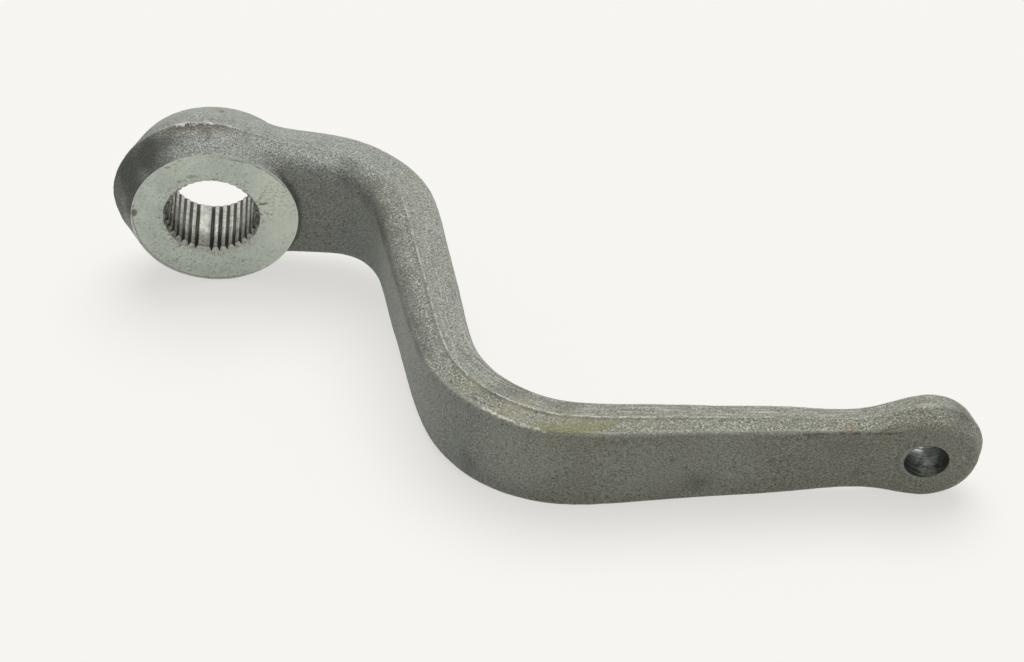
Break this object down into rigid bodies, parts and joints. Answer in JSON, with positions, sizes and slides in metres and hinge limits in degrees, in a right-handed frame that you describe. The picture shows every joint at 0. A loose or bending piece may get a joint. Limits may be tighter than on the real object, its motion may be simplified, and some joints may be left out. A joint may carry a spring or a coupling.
{
  "type": "steering arm",
  "caption": "Forged steel steering arm with an S bend: serrated bore in a round boss at one end, tapered stud hole in a small eye at the other.",
  "frame": {"origin": "middle of the serrated bore, on its axis", "axes": "Y along the bore with the machined front face of the boss towards -Y, +X from the boss towards the small eye, +Z across the arm's width"},
  "size_m": [0.2731, 0.1455, 0.0612],
  "materials": {
    "forged_steel": "as forged and shot blasted, with machined boss faces"
  },
  "bodies": {
    "root": {"arm": "forged_steel"}
  },
  "joints": []
}
